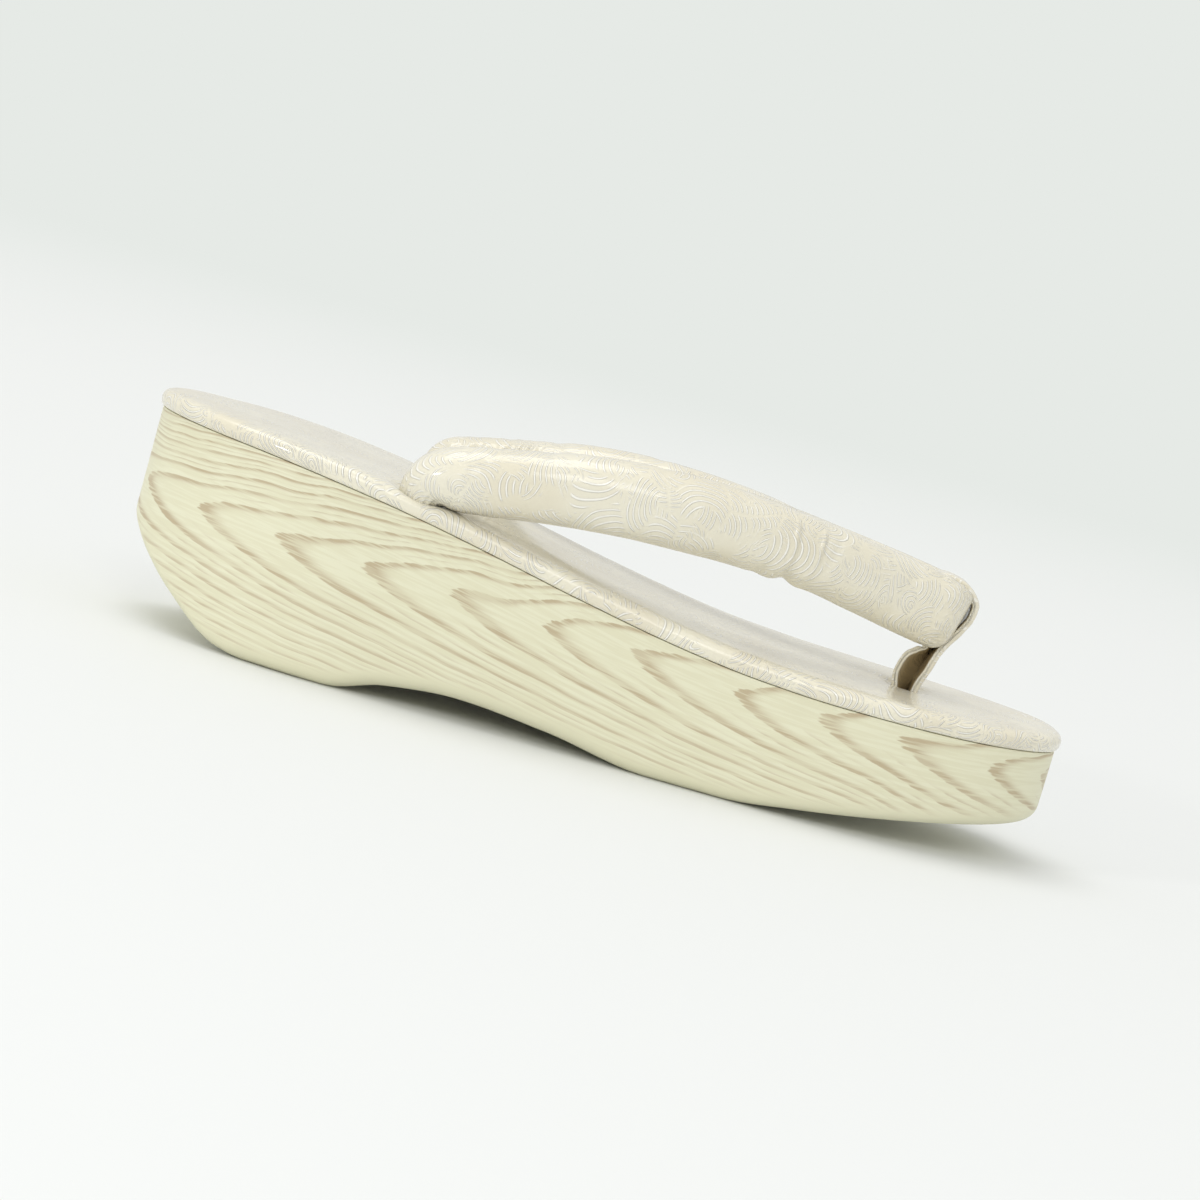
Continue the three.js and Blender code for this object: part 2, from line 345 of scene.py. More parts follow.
def makeScrollRelief():
    # embossed scrolls: swirls of nested arcs in patches, fading toward the patch borders
    tree, given, result = newGroup(
        "scrollRelief",
        [
            ("Vector", "NodeSocketVector", None),
            ("Patch", "NodeSocketFloat", 10.5),
            ("Spacing", "NodeSocketFloat", 1.5),
            ("Waver", "NodeSocketFloat", 2.2),
        ],
        [("Height", "NodeSocketFloat"), ("Kept", "NodeSocketFloat")],
    )
    wobble = noiseNode(tree, given["Vector"], 0.05, 1.0, "2D")
    centred = vectorCalc(tree, "SUBTRACT", wobble.outputs["Color"], (0.5, 0.5, 0.5))
    shift = scaleVector(tree, centred, calc(tree, "MULTIPLY", given["Waver"], 3.0))
    bent = vectorCalc(tree, "ADD", given["Vector"], shift)
    scale = calc(tree, "DIVIDE", 1.0, given["Patch"])
    patches = {"Vector": bent, "Scale": scale, "Randomness": 1.0}
    cells, borders = (
        addNode(tree, "ShaderNodeTexVoronoi", patches, voronoi_dimensions="2D", feature=feature)
        for feature in ("F1", "DISTANCE_TO_EDGE")
    )
    local = vectorCalc(tree, "SUBTRACT", bent, cells.outputs["Position"])
    tone = addNode(tree, "ShaderNodeSeparateColor", {"Color": cells.outputs["Color"]})
    spin = addNode(tree, "ShaderNodeVectorRotate", {"Vector": local}, rotation_type="Z_AXIS")
    tree.links.new(calc(tree, "MULTIPLY", tone.outputs[0], math.tau), spin.inputs["Angle"])
    parts = addNode(tree, "ShaderNodeSeparateXYZ", {"Vector": spin.outputs[0]})
    # some swirls turn round their own middle, the others only send arcs across the patch
    away = calc(tree, "MULTIPLY", given["Patch"], remap(tree, tone.outputs[2], 0.0, 0.6, 0.2, 1.05))
    across = calc(tree, "ADD", parts.outputs["X"], away)
    along = calc(tree, "MULTIPLY", parts.outputs["Y"], 1.3)
    squares = [calc(tree, "MULTIPLY", part, part) for part in (across, along)]
    reach = calc(tree, "SQRT", calc(tree, "ADD", *squares))
    around = calc(tree, "DIVIDE", calc(tree, "ARCTAN2", along, across), math.tau)
    hand = calc(tree, "MULTIPLY_ADD", calc(tree, "GREATER_THAN", tone.outputs[1], 0.5), 2.0, -1.0)
    swirl = calc(tree, "MULTIPLY_ADD", around, hand, calc(tree, "DIVIDE", reach, given["Spacing"]))
    arcs = calc(tree, "COSINE", calc(tree, "MULTIPLY", swirl, math.tau))
    ridge = remap(tree, arcs, 0.2, 1.0)
    # strokes start and end: they fade out in soft spots and toward the patch borders
    spots = noiseNode(tree, given["Vector"], 0.12, 1.0, "2D")
    kept = remap(tree, spots.outputs["Fac"], 0.4, 0.5)
    edge = calc(tree, "MULTIPLY", borders.outputs["Distance"], given["Patch"])
    inside = remap(tree, edge, 0.1, 0.9)
    height = calc(tree, "MULTIPLY", calc(tree, "MULTIPLY", ridge, inside), kept)
    tree.links.new(height, result["Height"])
    tree.links.new(kept, result["Kept"])
    return tree


def makeSkinGrain():
    # fine pebbled grain of a coated leather, with a slow unevenness
    tree, given, result = newGroup(
        "skinGrain",
        [("Vector", "NodeSocketVector", None), ("Grain", "NodeSocketFloat", 2.6)],
        [("Height", "NodeSocketFloat"), ("Cloud", "NodeSocketFloat")],
    )
    inputs = {"Vector": given["Vector"], "Scale": given["Grain"]}
    pebbles = addNode(tree, "ShaderNodeTexVoronoi", inputs, feature="SMOOTH_F1")
    dust = noiseNode(tree, given["Vector"], 5.0, 3.0)
    cloud = noiseNode(tree, given["Vector"], 0.045, 2.0)
    height = calc(tree, "MULTIPLY_ADD", pebbles.outputs["Distance"], 0.6, dust.outputs["Fac"])
    tree.links.new(height, result["Height"])
    tree.links.new(cloud.outputs["Fac"], result["Cloud"])
    return tree


# ---- materials ----

leather = {
    "strap": srgb(229, 224, 206),
    "ivory": srgb(232, 227, 208),
    "warm": srgb(223, 216, 195),
    # painted glint: near white laid on the raised lines of the embossing, in place of highlights on the
    # ridges
    "paintedRidgeGlint": srgb(251, 250, 246),
    "loop": srgb(229, 223, 205),
    # painted shade for the loop's inner face, which stands in shadow inside the band
    "paintedInnerShade": srgb(140, 122, 88),
    "relief": 0.0002,  # metres, depth of the embossing
    "grain": 0.00003,
    "smallScrolls": {"Patch": 7.0, "Spacing": 1.2, "Waver": 1.4},
}
wood = {
    "ground": srgb(222, 219, 191),
    "pale": srgb(227, 225, 199),
    "line": srgb(190, 175, 145),
    "underside": srgb(226, 223, 195),
    "between": 0.62,  # darkness of the thin lines between the main ones
    "ringGap": 23.0,  # millimetres along the side between the tips of two flames
    "start": 10.0,
    "tipRound": 1.0,
    "below": (0.9, 0.2),  # how fast a flame's lower edge runs away from its tip
    "above": (2.6, 0.3),
    "fibre": (0.06, 1.25),  # streaks to the millimetre, along the side and across it
    "patches": (0.035, 0.3),
    "middle": (34.9, 0.043),  # height of the tips at the heel, and how they sink toward the toe
}


def surfacePlace(tree):
    # millimetres over the unrolled surface
    return scaleVector(tree, addNode(tree, "ShaderNodeUVMap", uv_map="surface").outputs["UV"], uvSpan)


def solidPlace(tree):
    # millimetres in the sandal's own axes
    return scaleVector(tree, addNode(tree, "ShaderNodeTexCoord").outputs["Object"], 1.0 / mm)


def makeLeather(name, scrolls, grain, color, depth, shadedInside=False):
    material, tree, shader = newMaterial(name)
    flat = surfacePlace(tree)
    fine = addNode(tree, "ShaderNodeGroup", node_tree=grain)
    tree.links.new(solidPlace(tree), fine.inputs["Vector"])
    base = blendColors(tree, remap(tree, fine.outputs["Cloud"], 0.35, 0.7), color, leather["warm"])
    rough = remap(tree, fine.outputs["Cloud"], 0.3, 0.7, 0.4, 0.5)
    height = calc(tree, "MULTIPLY", fine.outputs["Height"], leather["grain"] / leather["relief"])
    relief = addNode(tree, "ShaderNodeGroup", node_tree=scrolls)
    tree.links.new(flat, relief.inputs["Vector"])
    # smaller scrolls fill the spots where the larger ones fade
    aside = vectorCalc(tree, "ADD", flat, (37.0, 61.0, 0.0))
    small = addNode(tree, "ShaderNodeGroup", leather["smallScrolls"], node_tree=scrolls)
    tree.links.new(aside, small.inputs["Vector"])
    free = calc(tree, "SUBTRACT", 1.0, relief.outputs["Kept"])
    filled = calc(tree, "MULTIPLY", small.outputs["Height"], free)
    raised = calc(tree, "MAXIMUM", relief.outputs["Height"], filled)
    # the raised lines are painted lighter, a painted glint along the ridges
    base = blendColors(tree, calc(tree, "MULTIPLY", raised, 0.7), base, leather["paintedRidgeGlint"])
    rough = calc(tree, "SUBTRACT", rough, calc(tree, "MULTIPLY", raised, 0.08))
    height = calc(tree, "ADD", height, raised)
    inputs = {"Height": height, "Strength": 1.0, "Distance": leather["relief"] * depth}
    lift = addNode(tree, "ShaderNodeBump", inputs)
    tree.links.new(rough, shader.inputs["Roughness"])
    tree.links.new(lift.outputs["Normal"], shader.inputs["Normal"])
    # painted shade: the inner face of the band is coloured dark brown where it lies in shadow
    if shadedInside:
        inner = addNode(tree, "ShaderNodeAttribute", attribute_name="inner").outputs["Fac"]
        base = blendColors(tree, inner, base, leather["paintedInnerShade"])
    tree.links.new(base, shader.inputs["Base Color"])
    shader.inputs["Specular IOR Level"].default_value = 0.55
    shader.inputs["Coat Weight"].default_value = 0.8
    shader.inputs["Coat Roughness"].default_value = 0.12
    return material


def printLine(tree, phase, wide, strength):
    # one printed line per turn: a crisp front edge and a fading back
    ring = calc(tree, "FRACT", phase)
    rise = remap(tree, ring, 0.0, 0.045)
    run = calc(tree, "SMOOTH_MIN", calc(tree, "DIVIDE", ring, wide), 1.0, 0.4)
    fall = calc(tree, "MULTIPLY", calc(tree, "MAXIMUM", calc(tree, "SUBTRACT", 1.0, run), 0.0), strength)
    return calc(tree, "MULTIPLY", rise, calc(tree, "MINIMUM", fall, 1.0))


def streaks(tree, place, density, detail):
    # noise stretched along the side
    along, across = density
    stretch = addNode(tree, "ShaderNodeMapping", {"Vector": place, "Scale": (along, across, 1.0)})
    return noiseNode(tree, stretch.outputs[0], 1.0, detail, "2D").outputs["Fac"]


def makeWood(name):
    material, tree, shader = newMaterial(name)
    place = surfacePlace(tree)
    along = addNode(tree, "ShaderNodeSeparateXYZ", {"Vector": place}).outputs["X"]
    height = addNode(tree, "ShaderNodeSeparateXYZ", {"Vector": solidPlace(tree)}).outputs["Z"]
    # the flames' middle line sinks slowly from the heel to the toe
    half = outlineLength / 2
    fromToe = calc(tree, "ABSOLUTE", calc(tree, "SUBTRACT", along, half))
    highest, sinking = wood["middle"]
    middle = calc(tree, "MULTIPLY_ADD", fromToe, sinking, highest - half * sinking)
    sway = calc(tree, "SUBTRACT", noiseNode(tree, place, 0.025, 2.0, "2D").outputs["Fac"], 0.5)
    off = calc(tree, "SUBTRACT", calc(tree, "MULTIPLY_ADD", sway, 5.0, middle), height)
    squared = calc(tree, "MULTIPLY", off, off)
    rounded = calc(tree, "SQRT", calc(tree, "ADD", squared, wood["tipRound"] ** 2))
    isBelow = remap(tree, off, -0.6, 0.6)
    edges = []
    for straight, bend in (wood["above"], wood["below"]):
        run = calc(tree, "MULTIPLY", calc(tree, "SUBTRACT", rounded, wood["tipRound"]), straight)
        edges.append(calc(tree, "MULTIPLY_ADD", squared, bend, run))
    curved = calc(tree, "MULTIPLY_ADD", calc(tree, "SUBTRACT", edges[1], edges[0]), isBelow, edges[0])
    # fibres: long along the side and fine across it, they feather the flame tips
    fibre = streaks(tree, place, wood["fibre"], 3.0)
    ragged = remap(tree, rounded, 1.0, 5.0, 6.5, 3.0)
    feather = calc(tree, "MULTIPLY", calc(tree, "SUBTRACT", fibre, 0.5), ragged)
    swayed = calc(tree, "MULTIPLY_ADD", sway, 14.0, calc(tree, "SUBTRACT", along, wood["start"]))
    field = calc(tree, "ADD", calc(tree, "SUBTRACT", swayed, curved), feather)
    # a slower unevenness, so that one line is not equally dark along its run
    patchy = streaks(tree, place, wood["patches"], 2.0)
    away = calc(tree, "ABSOLUTE", off)
    wide = remap(tree, away, 0.0, 14.0, 0.34, 0.4)
    main = printLine(tree, calc(tree, "DIVIDE", field, wood["ringGap"]), wide, 2.0)
    main = calc(tree, "MULTIPLY", main, remap(tree, patchy, 0.36, 0.54, 0.72, 1.0))
    # thinner and paler lines run between the main ones, away from the tips
    halfway = calc(tree, "MULTIPLY_ADD", field, 1.0 / wood["ringGap"], 0.42)
    thin = printLine(tree, halfway, remap(tree, away, 0.0, 18.0, 0.14, 0.22), 1.5)
    thin = calc(tree, "MULTIPLY", thin, remap(tree, away, 3.0, 8.0, 0.0, wood["between"]))
    thin = calc(tree, "MULTIPLY", thin, remap(tree, patchy, 0.56, 0.4, 0.25, 1.0))
    low = remap(tree, off, 6.0, 20.0, 1.0, 0.78)
    dark = calc(tree, "MULTIPLY", calc(tree, "MAXIMUM", main, thin), low)
    # streaks break the print up, and the rolled lower edge stays plain
    streak = remap(tree, fibre, 0.38, 0.56, 0.35, 1.0)
    plain = addNode(tree, "ShaderNodeAttribute", attribute_name="plain").outputs["Fac"]
    printed = calc(tree, "SUBTRACT", 1.0, plain)
    ink = calc(tree, "MULTIPLY", calc(tree, "MULTIPLY", dark, streak), printed)
    ground = blendColors(tree, remap(tree, fibre, 0.4, 0.62), wood["ground"], wood["pale"])
    ground = blendColors(tree, plain, ground, wood["underside"])
    tree.links.new(blendColors(tree, ink, ground, wood["line"]), shader.inputs["Base Color"])
    rough = remap(tree, fibre, 0.3, 0.7, 0.42, 0.52)
    tree.links.new(rough, shader.inputs["Roughness"])
    pores = calc(tree, "SUBTRACT", fibre, ink)
    lift = addNode(tree, "ShaderNodeBump", {"Height": pores, "Strength": 0.5, "Distance": 0.00005})
    tree.links.new(lift.outputs["Normal"], shader.inputs["Normal"])
    return material


# ---- base ----

base = {
    "edgeRadius": 4.5,  # rolled lower edge
    "edgeSteps": 8,
    "wallSteps": 12,
    "topEase": 0.15,  # tiny round under the deck
    "plainBand": 2.5,  # height of the unprinted band above the rolled edge
}


def baseRings():
    radius = base["edgeRadius"]
    drawn = 1.0 - radius / sole["halfLength"]
    rings = []
    for inset in (sole["toe"]["halfWidth"], 30.0, 20.0, 12.0, 7.0):
        rings.append(ringAt(inset, lambda full, x: undersideAt(x / drawn)))
    for step in range(base["edgeSteps"] + 1):
        turn = math.pi / 2 * step / base["edgeSteps"]
        rise = radius * (1.0 - math.cos(turn))
        inset = radius * (1.0 - math.sin(turn))
        rings.append(ringAt(inset, lambda full, x, rise=rise: undersideAt(full) + rise))
    for step in range(1, base["wallSteps"] + 1):
        t = step / base["wallSteps"]

        def wall(full, x, t=t):
            low = undersideAt(full) + radius
            return low + (seamAt(full) - base["topEase"] - low) * t

        rings.append(ringAt(0.0, wall))
    rings.append(ringAt(base["topEase"] * 0.3, lambda full, x: seamAt(full) - base["topEase"] * 0.3))
    rings.append(ringAt(base["topEase"], lambda full, x: seamAt(full)))
    for inset in (3.0, 12.0, 24.0, sole["toe"]["halfWidth"]):
        rings.append(ringAt(inset, lambda full, x: seamAt(x)))
    return rings


def makeBase(material):
    print("base")
    bm, turn = stackRings(baseRings())[:2]
    surface = bm.loops.layers.uv.new("surface")
    plain = bm.verts.layers.float.new("plain")
    count = sole["around"]
    radius = base["edgeRadius"]
    for vert in bm.verts:
        full = outline[vert[turn]][0]
        aboveEdge = vert.co.z / mm - undersideAt(full) - radius * 0.6
        vert[plain] = 1.0 - smooth(aboveEdge, 0.0, base["plainBand"])
    for face in bm.faces:
        wraps = max(loop.vert[turn] for loop in face.loops) == count - 1
        for loop in face.loops:
            i = loop.vert[turn]
            along = count if wraps and i == 0 else i
            down = seamAt(outline[i][0]) - loop.vert.co.z / mm
            loop[surface].uv = (along / count * outlineLength / uvSpan, down / uvSpan)
    closeSpines(bm)
    piece = finishPiece(bm, "wood_base", "base", material)
    cutAway(piece, openings())
    return piece


# ---- deck ----

deck = {
    "gap": 0.12,
    "edge": [(1.2, 0.12), (-0.1, 0.22), (-0.8, 1.1), (-0.95, 2.3), (-0.6, 3.4), (0.4, 4.3), (1.8, 4.75),
             (3.8, 4.98), (7.0, 5.12), (12.0, 5.25), (20.0, 5.35), (30.0, 5.4), (39.0, 5.4)],
    "slot": {"x": 79.3, "length": 9.8, "width": 6.7, "floor": 16.0},
    "holes": {"x": -50.8, "y": 31.2, "width": 9.4, "floor": 29.0},
    "clear": 70.0,  # height above everything at the openings
    "dip": 0.9,  # how far the cover is drawn down at the slot and the holes
    "dipReach": 2.31,
}


def slotDistance(x, y):
    slot = deck["slot"]
    reach = (slot["length"] - slot["width"]) / 2
    return math.hypot(x - slot["x"], max(abs(y) - reach, 0.0)) - slot["width"] / 2


def holeDistance(x, y):
    holes = deck["holes"]
    return math.hypot(x - holes["x"], abs(y) - holes["y"]) - holes["width"] / 2


def isNearOpening(vert, reach):
    # on the deck's top and within reach of the slot or a hole
    x, y, z = vert.co / mm
    return z > seamAt(x) + 4.2 and min(slotDistance(x, y), holeDistance(x, y)) < reach


def openings():
    # cutters for the loop's slot and the two holes of the straps, through the deck into the base
    slot, holes = deck["slot"], deck["holes"]
    cutters = [barCutter(slot["x"], 0.0, slot["length"], slot["width"], slot["floor"], deck["clear"])]
    width = holes["width"]
    for side in (1, -1):
        y = side * holes["y"]
        cutters.append(barCutter(holes["x"], y, width, width, holes["floor"], deck["clear"]))
    return cutters


def makeDeck(material):
    print("deck pad")
    profile = deck["edge"]
    # two rings make the underside, the profile makes the rest
    rings = [ringAt(inset, lambda full, x: seamAt(x) + deck["gap"]) for inset in (39.0, 15.0)]
    steps = 4
    insets = smoothCurve([(i, inset) for i, (inset, rise) in enumerate(profile)])
    rises = smoothCurve([(i, rise) for i, (inset, rise) in enumerate(profile)])
    reachOut = []  # how far the cover runs on past the outline, unrolled, for each ring
    for k in range((len(profile) - 1) * steps + 1):
        inset, rise = insets(k / steps), rises(k / steps)
        rings.append(ringAt(inset, lambda full, x, rise=rise: seamAt(x) + rise))
        reachOut.append((inset, rise))
    bm, turn, level = stackRings(rings)
    under = len(rings) - len(reachOut)
    surface = bm.loops.layers.uv.new("surface")
    unrolled = [0.0] * len(reachOut)
    top = next(k for k, (inset, rise) in enumerate(reachOut) if inset > 3.0 and rise > 3.0)
    for k in range(top - 1, -1, -1):
        unrolled[k] = unrolled[k + 1] + math.dist(reachOut[k], reachOut[k + 1])
    for face in bm.faces:
        for loop in face.loops:
            vert = loop.vert
            x, y = outline[vert[turn]]
            k = max(vert[level] - under, 0)
            if k >= top:
                loop[surface].uv = (vert.co.x / mm / uvSpan, vert.co.y / mm / uvSpan)
            else:
                inset = reachOut[top][0] - unrolled[k]
                alongX = 1.0 - inset / sole["halfLength"]
                alongY = 1.0 - inset / sole["toe"]["halfWidth"]
                loop[surface].uv = (x * alongX / uvSpan, y * alongY / uvSpan)
    closeSpines(bm)
    # finer faces round the slot and the holes, where the cover is drawn down
    for reach in (10.0, 6.0):
        near = [edge for edge in bm.edges if all(isNearOpening(vert, reach) for vert in edge.verts)]
        bmesh.ops.subdivide_edges(bm, edges=near, cuts=1, use_grid_fill=True)
    for vert in bm.verts:
        x, y, z = vert.co / mm
        if z > seamAt(x) + 3.0:
            for gap in (slotDistance(x, y), holeDistance(x, y)):
                vert.co.z -= deck["dip"] * mm * bump(max(gap, 0.0), 0.0, deck["dipReach"])
            vert.co.z += 0.12 * mm * noise.noise(Vector((x / 16.0, y / 16.0, 3.0)))
    piece = finishPiece(bm, "deck_cushion", "deck_pad", material)
    cutAway(piece, openings())
    return piece


# ---- straps ----

straps = {
    # x, y, z of the middle, width, height and pitch (degrees up) of each section, hole to joint
    "rows": [
        (-50.8, 31.2, 36.0, 8.4, 8.4, 90),
        (-50.8, 31.2, 45.0, 8.8, 8.6, 90),
        (-50.6, 31.2, 48.4, 10.8, 9.4, 84),
        (-50.0, 31.3, 51.4, 13.8, 11.2, 70),
        (-48.4, 31.6, 54.0, 16.2, 13.4, 50),
        (-45.4, 31.9, 55.9, 17.4, 15.2, 31),
        (-40.8, 32.2, 57.3, 18.0, 16.0, 17),
        (-34.0, 32.2, 58.5, 18.0, 16.4, 11),
        (-24.0, 31.8, 60.4, 18.2, 17.2, 10),
        (-12.0, 30.6, 62.4, 18.4, 18.3, 7),
        (2.0, 28.6, 63.4, 18.6, 18.6, 3),
        (17.0, 25.6, 63.8, 18.4, 18.5, 0),
        (31.0, 21.9, 63.3, 17.8, 18.0, -4),
        (45.0, 17.0, 61.9, 16.6, 17.6, -7),
        (58.0, 12.1, 59.8, 14.8, 18.0, -9),
        (69.0, 8.3, 57.9, 13.2, 18.3, -10),
        (78.0, 6.4, 56.3, 12.6, 18.4, -11),
        (82.5, 5.9, 55.6, 11.8, 18.0, -12),
        (85.2, 5.1, 55.0, 10.2, 16.4, -14),
        (86.8, 3.9, 54.9, 7.8, 14.6, -15),
        (87.6, 2.6, 54.9, 5.2, 12.6, -15),
        (87.9, 1.3, 54.9, 2.6, 10.0, -15),
    ],
    "power": 2.25,  # 2 is an ellipse, more is squarer
    "radius": 9.0,  # for unrolling the surface
    "apart": 300.0,  # keeps the two straps' patterns apart
    "sides": 90,
    "rings": 440,
    # soft creases: x along the strap, middle angle (0 outer side, 90 top), spread, depth, width, slant
    "creases": [
        (40.5, -72.0, 55.0, 1.5, 2.4, -0.03),
        (47.5, 0.0, 45.0, 0.45, 1.4, 0.03),
        (34.0, -50.0, 45.0, 0.5, 1.8, 0.02),
        (40.0, 170.0, 60.0, 0.9, 1.9, 0.0),
        (52.0, 180.0, 50.0, 0.6, 1.5, 0.03),
        (-41.0, 40.0, 40.0, 0.35, 1.3, 0.04),
        (-35.0, 55.0, 40.0, 0.35, 1.4, 0.05),
        (-20.0, 110.0, 55.0, 0.4, 1.8, 0.04),
        (4.0, 120.0, 50.0, 0.35, 2.0, -0.04),
        (70.0, 20.0, 60.0, 0.3, 2.0, 0.03),
    ],
    # narrow folds that stand up, given the same way
    "folds": [
        (37.6, 8.0, 42.0, 0.42, 0.6, -0.012),
        (44.3, 14.0, 34.0, 0.38, 0.55, 0.004),
        (14.0, 150.0, 40.0, 0.4, 0.8, 0.02),
        (26.0, 165.0, 40.0, 0.4, 0.8, -0.02),
        (80.0, 84.0, 20.0, 0.3, 0.9, 0.03),
    ],
    # uneven ripples on the inner side, behind the arch
    "gathers": {"start": -50.0, "end": -14.0, "middle": 180.0, "spread": 55.0, "step": 3.4, "depth": 1.0},
    # small pleats round both ends; a place below zero is measured back from the joint
    "tucks": [
        {"count": 21, "depth": 0.3, "place": 14.0, "reach": 5.5},
        {"count": 31, "depth": 0.2, "place": -9.0, "reach": 5.0},
    ],
    "seam": {"angle": -122.0, "depth": 0.5, "width": 4.0},
    "sag": 1.9,  # the left strap lies this much lower behind the arch
}


def unitTube(sides, rings):
    # closed bar, 1 long in z, cut into rings
    bm = bmesh.new()
    bmesh.ops.create_cone(bm, cap_ends=True, segments=sides, radius1=1.0, radius2=1.0, depth=1.0)
    lengthwise = [edge for edge in bm.edges if abs(edge.verts[0].co.z - edge.verts[1].co.z) > 0.5]
    bmesh.ops.subdivide_edges(bm, edges=lengthwise, cuts=rings - 1)
    caps = [face for face in bm.faces if len(face.verts) > 4]
    bmesh.ops.poke(bm, faces=caps)
    return bm


def strapPath():
    rows = straps["rows"]
    reach = [0.0]
    for a, b in zip(rows, rows[1:]):
        reach.append(reach[-1] + math.dist(a[:3], b[:3]) + abs(a[4] - b[4]) / 2)
    columns = [smoothCurve([(reach[i], row[k]) for i, row in enumerate(rows)]) for k in range(6)]
    return columns, reach[-1]


def strapRelief(x, angle, length, total, side):
    # height of the surface above its plain section, in millimetres
    lift = 0.4 * noise.noise(Vector((x / 20.0, angle / 60.0, side * 5.0 + 2.0)))
    for place, middle, spread, depth, width, slant in straps["creases"]:
        away = turnGap(angle, middle)
        gap = x - place - slant * away
        fade = math.exp(-((away / spread) ** 2))
        lift += depth * fade * (0.45 * bump(gap, 0.0, width * 2.4) - bump(gap, 0.0, width))
    for place, middle, spread, depth, width, slant in straps["folds"]:
        away = turnGap(angle, middle)
        gap = x - place - slant * away
        fade = math.exp(-((away / spread) ** 4))
        lift += depth * fade * (bump(gap, 0.0, width) - 0.7 * bump(gap, width * 2.2, width * 1.4))
    gathers = straps["gathers"]
    fade = bump(turnGap(angle, gathers["middle"]), 0.0, gathers["spread"])
    fade *= smooth(x, gathers["start"], gathers["start"] + 8.0)
    fade *= 1.0 - smooth(x, gathers["end"] - 20.0, gathers["end"])
    fade *= 0.75 + 1.1 * noise.noise(Vector((x / 5.0, angle / 45.0, side * 4.0)))
    waver = 2.6 * noise.noise(Vector((x / 7.0, angle / 60.0, side * 3.0)))
    turns = (x + waver + 0.03 * turnGap(angle, 90.0)) / gathers["step"]
    lift += gathers["depth"] * fade * math.cos(math.tau * turns)
    turn = math.radians(angle)
    waver = 4.0 * noise.noise(Vector((math.cos(turn) * 1.5, math.sin(turn) * 1.5, length / 12.0 + side)))
    for tucks in straps["tucks"]:
        place = tucks["place"] if tucks["place"] > 0.0 else total + tucks["place"]
        pleats = math.cos(turn * tucks["count"] + waver)
        lift += tucks["depth"] * bump(length, place, tucks["reach"]) * pleats
    seam = straps["seam"]
    lift -= seam["depth"] * bump(turnGap(angle, seam["angle"]), 0.0, seam["width"])
    return lift


def makeStrap(side):
    columns, total = strapPath()
    bm = unitTube(straps["sides"], straps["rings"])
    surface = bm.loops.layers.uv.new("surface")
    for face in bm.faces:
        angles = [math.degrees(math.atan2(loop.vert.co.y, loop.vert.co.x)) for loop in face.loops]
        wraps = max(angles) - min(angles) > 180.0
        for loop, angle in zip(face.loops, angles):
            if wraps and angle < 0.0:
                angle += 360.0
            length = (loop.vert.co.z + 0.5) * total
            around = math.radians(angle) * straps["radius"]
            loop[surface].uv = ((length + side * straps["apart"]) / uvSpan, around / uvSpan)
    for vert in bm.verts:
        t = vert.co.z + 0.5
        angle = math.degrees(math.atan2(vert.co.y, vert.co.x)) - 90.0
        core = vert.co.xy.length < 0.5  # the middle of a cap
        length = t * total
        x, y, z, width, height, pitch = (column(length) for column in columns)
        step = 1.0
        dx, dy = (column(length + step) - column(length - step) for column in columns[:2])
        # the sections turn with the strap, except in the tail and at the joint
        yaw = math.atan2(side * dy, dx) * smooth(length, 14.0, 34.0) * (1.0 - smooth(x, 70.0, 82.0))
        tilt = math.radians(pitch)
        outward = Vector((-math.sin(yaw) * side, math.cos(yaw) * side, 0.0))
        up = Vector((-math.sin(tilt) * math.cos(yaw), -math.sin(tilt) * math.sin(yaw), math.cos(tilt)))
        turn = math.radians(angle)
        c, s = math.cos(turn), math.sin(turn)
        power = 2.0 / straps["power"]
        a = math.copysign(abs(c) ** power, c) * width / 2
        b = math.copysign(abs(s) ** power, s) * height / 2
        place = Vector((x, side * y, z))
        if side > 0:
            place.z -= straps["sag"] * smooth(x, -51.0, -40.0) * (1.0 - smooth(x, 40.0, 80.0))
        if core:
            vert.co = place * mm
            continue
        normal = (outward * c / width + up * s / height).normalized()
        inset = min(1.0, (width / 8.0) ** 2)
        place += outward * a + up * b + normal * strapRelief(x, angle, length, total, side) * inset
        if side * place.y < 0.05:
            place.y = side * 0.05  # the two straps press flat against each other at the joint
        vert.co = place * mm
    return bm


def makeStraps(material):
    print("straps")
    both = bmesh.new()
    for side in (1, -1):
        one = makeStrap(side)
        bmesh.ops.recalc_face_normals(one, faces=one.faces[:])
        mesh = bpy.data.meshes.new("one")
        one.to_mesh(mesh)
        one.free()
        both.from_mesh(mesh)
        bpy.data.meshes.remove(mesh)
    piece = finishPiece(both, "thong_straps", "straps", material)
    return piece


# ---- front loop ----

loop = {
    # x, z, width and twist (degrees) of the band, from the slot up the front, over the
    # joint and back down
    "rows": [
        (81.0, 20.0, 8.2, 0), (81.0, 31.0, 8.2, 0), (81.4, 35.8, 8.4, 4), (82.7, 40.8, 8.8, 8),
        (84.1, 45.4, 9.0, 6), (86.2, 48.8, 9.0, 0), (88.4, 52.6, 9.2, 0), (90.0, 56.4, 9.4, 0),
        (90.2, 59.0, 9.5, 0), (88.6, 61.7, 9.5, 0), (85.4, 63.8, 9.5, 0), (81.5, 64.5, 9.3, 0),
        (77.4, 63.4, 8.4, 0), (74.6, 60.4, 7.0, 0), (73.4, 56.0, 6.4, 0), (74.8, 51.8, 6.6, 0),
        (77.8, 49.2, 7.0, 0), (80.8, 47.6, 7.6, 4), (81.9, 45.7, 8.2, 20), (80.9, 43.4, 8.6, 38),
        (79.5, 41.0, 8.9, 48), (78.8, 38.2, 8.9, 48), (78.4, 34.6, 8.6, 34), (78.0, 30.0, 8.2, 10),
        (77.6, 20.0, 8.2, 0),
    ],
    "thickness": 2.1,
    "halfWidth": 4.8,  # for unrolling the surface
    "apart": 20.0,  # keeps the patterns of the two faces apart
    "sides": 40,
    "rings": 260,
    "power": 5.0,
    "fold": 0.28,  # groove down the inner face, where the folded edges meet
}


